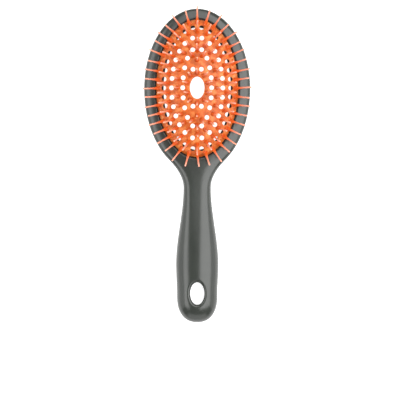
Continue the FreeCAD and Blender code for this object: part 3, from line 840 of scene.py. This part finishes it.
class HAIRBRUSH_OT_pins(bpy.types.Operator):
    """Make the rows of leaning pins, one piece for each row and length"""

    bl_idname = "hairbrush.pins"
    bl_label = "Pins"

    def execute(self, context):
        size, pad = context.scene.hairbrush_pins, context.scene.hairbrush_pad
        finish = context.scene.hairbrush_finish
        material = pin_finish("pin_rubber", tuple(finish.pin_root), tuple(finish.pin_tip))
        rng = np.random.default_rng(STRAY_SEED)
        outer = (PAD_X * size.outer_side_share, PAD_Y * size.outer_share)
        plan = even_row(*outer, OUTER_COUNT, 0)
        rows = [
            ("pins_outer_long", "outer_row", plan[0::2], outer, size.outer_lean, size.long_length),
            ("pins_outer_short", "outer_row", plan[1::2], outer, size.outer_lean, size.short_length),
        ]
        for name, (body, side, end, count, lean) in PIN_ROWS.items():
            around = (side * PAD_X, end * PAD_Y)
            plan = even_row(*around, count, 0)
            rows.append((name, body, plan, around, math.radians(lean), size.long_length))
        for name, body, table, unit in (
            ("pins_crest", "crest_pins", CREST_PINS, (PAD_X, PAD_Y)),
            ("pins_round_oval", "oval_pins", OVAL_PINS, (pad.oval_half_width, pad.oval_half_length)),
        ):
            groups = [four_quarters(across * unit[0], along * unit[1]) for across, along, _ in table]
            lean = np.concatenate([np.full(len(g), math.radians(row[2])) for g, row in zip(groups, table)])
            rows.append((name, body, np.concatenate(groups), (PAD_X, PAD_Y), lean, size.long_length))
        for name, body, plan, around, lean, long in rows:
            points, facing = stand(plan, *around, lean, pad, size.stray, rng)
            if name == "pins_outer_long":
                out, turn = math.sin(size.throat_pin_lean), size.throat_pin_turn
                up = math.cos(size.throat_pin_lean)
                facing[len(facing) // 2] = out * math.sin(turn), -out * math.cos(turn), up
            flare = size.outer_flare if body == "outer_row" else size.flare_radius
            rings = pin_grid(points, facing, np.full(len(plan), long), flare, size)
            vertices, faces = weld(list(rings))
            piece = make_piece(name + "_skin", vertices, faces)
            shares = nearest_share(vertices, points, facing, long)
            piece.data.attributes.new("along", "FLOAT", "POINT").data.foreach_set("value", shares)
            settle(piece, material, body, "pin", name)
        return {"FINISHED"}


def nearest_share(vertices, points, facing, long):
    """How far each vertex is up its own pin, as a share of the pin's length."""
    offset = vertices[:, None] - points
    up = (offset * facing).sum(axis=-1)
    off = np.linalg.norm(offset - up[..., None] * facing, axis=-1)
    return np.clip(up[np.arange(len(vertices)), off.argmin(axis=1)] / long, 0, 1)


# Each soft light: its name, place, turn, width and height, and power in watts
UPRIGHT = math.pi / 2
SOFT_LIGHTS = (
    ("softbox_right", (0.67, 0.06, 0.8), (0, 0, 0), (1.14, 1.5), 24.0),
    ("softbox_left", (-0.86, 0.0, 0.8), (0, 0, 0), (0.74, 1.5), 14.0),
    ("softbox_top", (0.0, 0.75, 0.8), (0, 0, 0), (0.5, 1.2), 5.0),
    ("fill_right", (1.5, 0.0, 0.45), (0, UPRIGHT, 0), (0.8, 1.8), 7.0),
    ("fill_left", (-1.5, 0.0, 0.45), (0, -UPRIGHT, 0), (0.8, 1.8), 7.0),
    ("fill_heel", (0.0, -1.5, 0.45), (UPRIGHT, 0, 0), (1.8, 0.8), 7.0),
)
FLOOR_HALF, FLOOR_LEVEL = 3.0, -0.0005
ROOM_LIGHT = (0.32, 0.32, 0.32, 1.0)
CAMERA_PLACE, CAMERA_LENS = (0.0020, -0.0253, 2.0), 250.0


class HAIRBRUSH_OT_stage(bpy.types.Operator):
    """Set a pale floor, soft side lights and a camera that looks straight down"""

    bl_idname = "hairbrush.stage"
    bl_label = "Stage"

    def execute(self, context):
        scene = context.scene
        mesh = bpy.data.meshes.new("floor")
        half, low = FLOOR_HALF, FLOOR_LEVEL
        mesh.from_pydata(
            [(-half, -half, low), (half, -half, low), (half, half, low), (-half, half, low)],
            [],
            [(0, 1, 2, 3)],
        )
        floor = bpy.data.objects.new("floor", mesh)
        scene.collection.objects.link(floor)
        mesh.materials.append(floor_finish("floor_paper", tuple(scene.hairbrush_finish.floor)))
        for name, place, turn, size, power in SOFT_LIGHTS:
            light = bpy.data.lights.new(name, "AREA")
            light.shape = "RECTANGLE"
            light.size, light.size_y = size
            light.energy = power
            lamp = bpy.data.objects.new(name, light)
            lamp.location = place
            lamp.rotation_euler = turn
            lamp.visible_camera = False
            scene.collection.objects.link(lamp)
        world = bpy.data.worlds.new("room")
        world.use_nodes = True
        world.node_tree.nodes["Background"].inputs["Color"].default_value = ROOM_LIGHT
        scene.world = world
        lens = bpy.data.cameras.new("camera")
        lens.sensor_width = 36.0
        lens.lens = CAMERA_LENS
        lens.clip_end = 20.0
        camera = bpy.data.objects.new("camera", lens)
        camera.location = CAMERA_PLACE
        scene.collection.objects.link(camera)
        scene.camera = camera
        scene.view_settings.view_transform = "Standard"
        return {"FINISHED"}


class HAIRBRUSH_PT_panel(bpy.types.Panel):
    """Sizes, colours and build buttons of the hairbrush"""

    bl_idname = "HAIRBRUSH_PT_panel"
    bl_label = "Vented Hairbrush"
    bl_space_type = "VIEW_3D"
    bl_region_type = "UI"
    bl_category = "Hairbrush"

    def draw(self, context):
        for title, name in GROUPS.items():
            box = self.layout.box()
            box.label(text=title)
            group = getattr(context.scene, name)
            for key in group.__annotations__:
                box.prop(group, key)
        for operator in OPERATORS:
            self.layout.operator(operator.bl_idname)


GROUPS = {
    "Shells": "hairbrush_shell",
    "Pad": "hairbrush_pad",
    "Pins": "hairbrush_pins",
    "Finish": "hairbrush_finish",
}
SETTINGS = (HairbrushShell, HairbrushPad, HairbrushPins, HairbrushFinish)
OPERATORS = (
    HAIRBRUSH_OT_shells,
    HAIRBRUSH_OT_rings,
    HAIRBRUSH_OT_pad,
    HAIRBRUSH_OT_pins,
    HAIRBRUSH_OT_stage,
)
CLASSES = SETTINGS + OPERATORS + (HAIRBRUSH_PT_panel,)


def register():
    """Registers the classes and gives the scene its groups of settings."""
    for kind in CLASSES:
        bpy.utils.register_class(kind)
    for kind, name in zip(SETTINGS, GROUPS.values()):
        setattr(bpy.types.Scene, name, bpy.props.PointerProperty(type=kind))


def unregister():
    """Takes the settings and the classes away again."""
    for name in GROUPS.values():
        delattr(bpy.types.Scene, name)
    for kind in reversed(CLASSES):
        bpy.utils.unregister_class(kind)


def main():
    """Builds every piece and the stage in order."""
    register()
    bpy.ops.hairbrush.shells()
    bpy.ops.hairbrush.rings()
    bpy.ops.hairbrush.pad()
    bpy.ops.hairbrush.pins()
    bpy.ops.hairbrush.stage()
    bpy.context.view_layer.update()


if __name__ == "__main__":
    main()
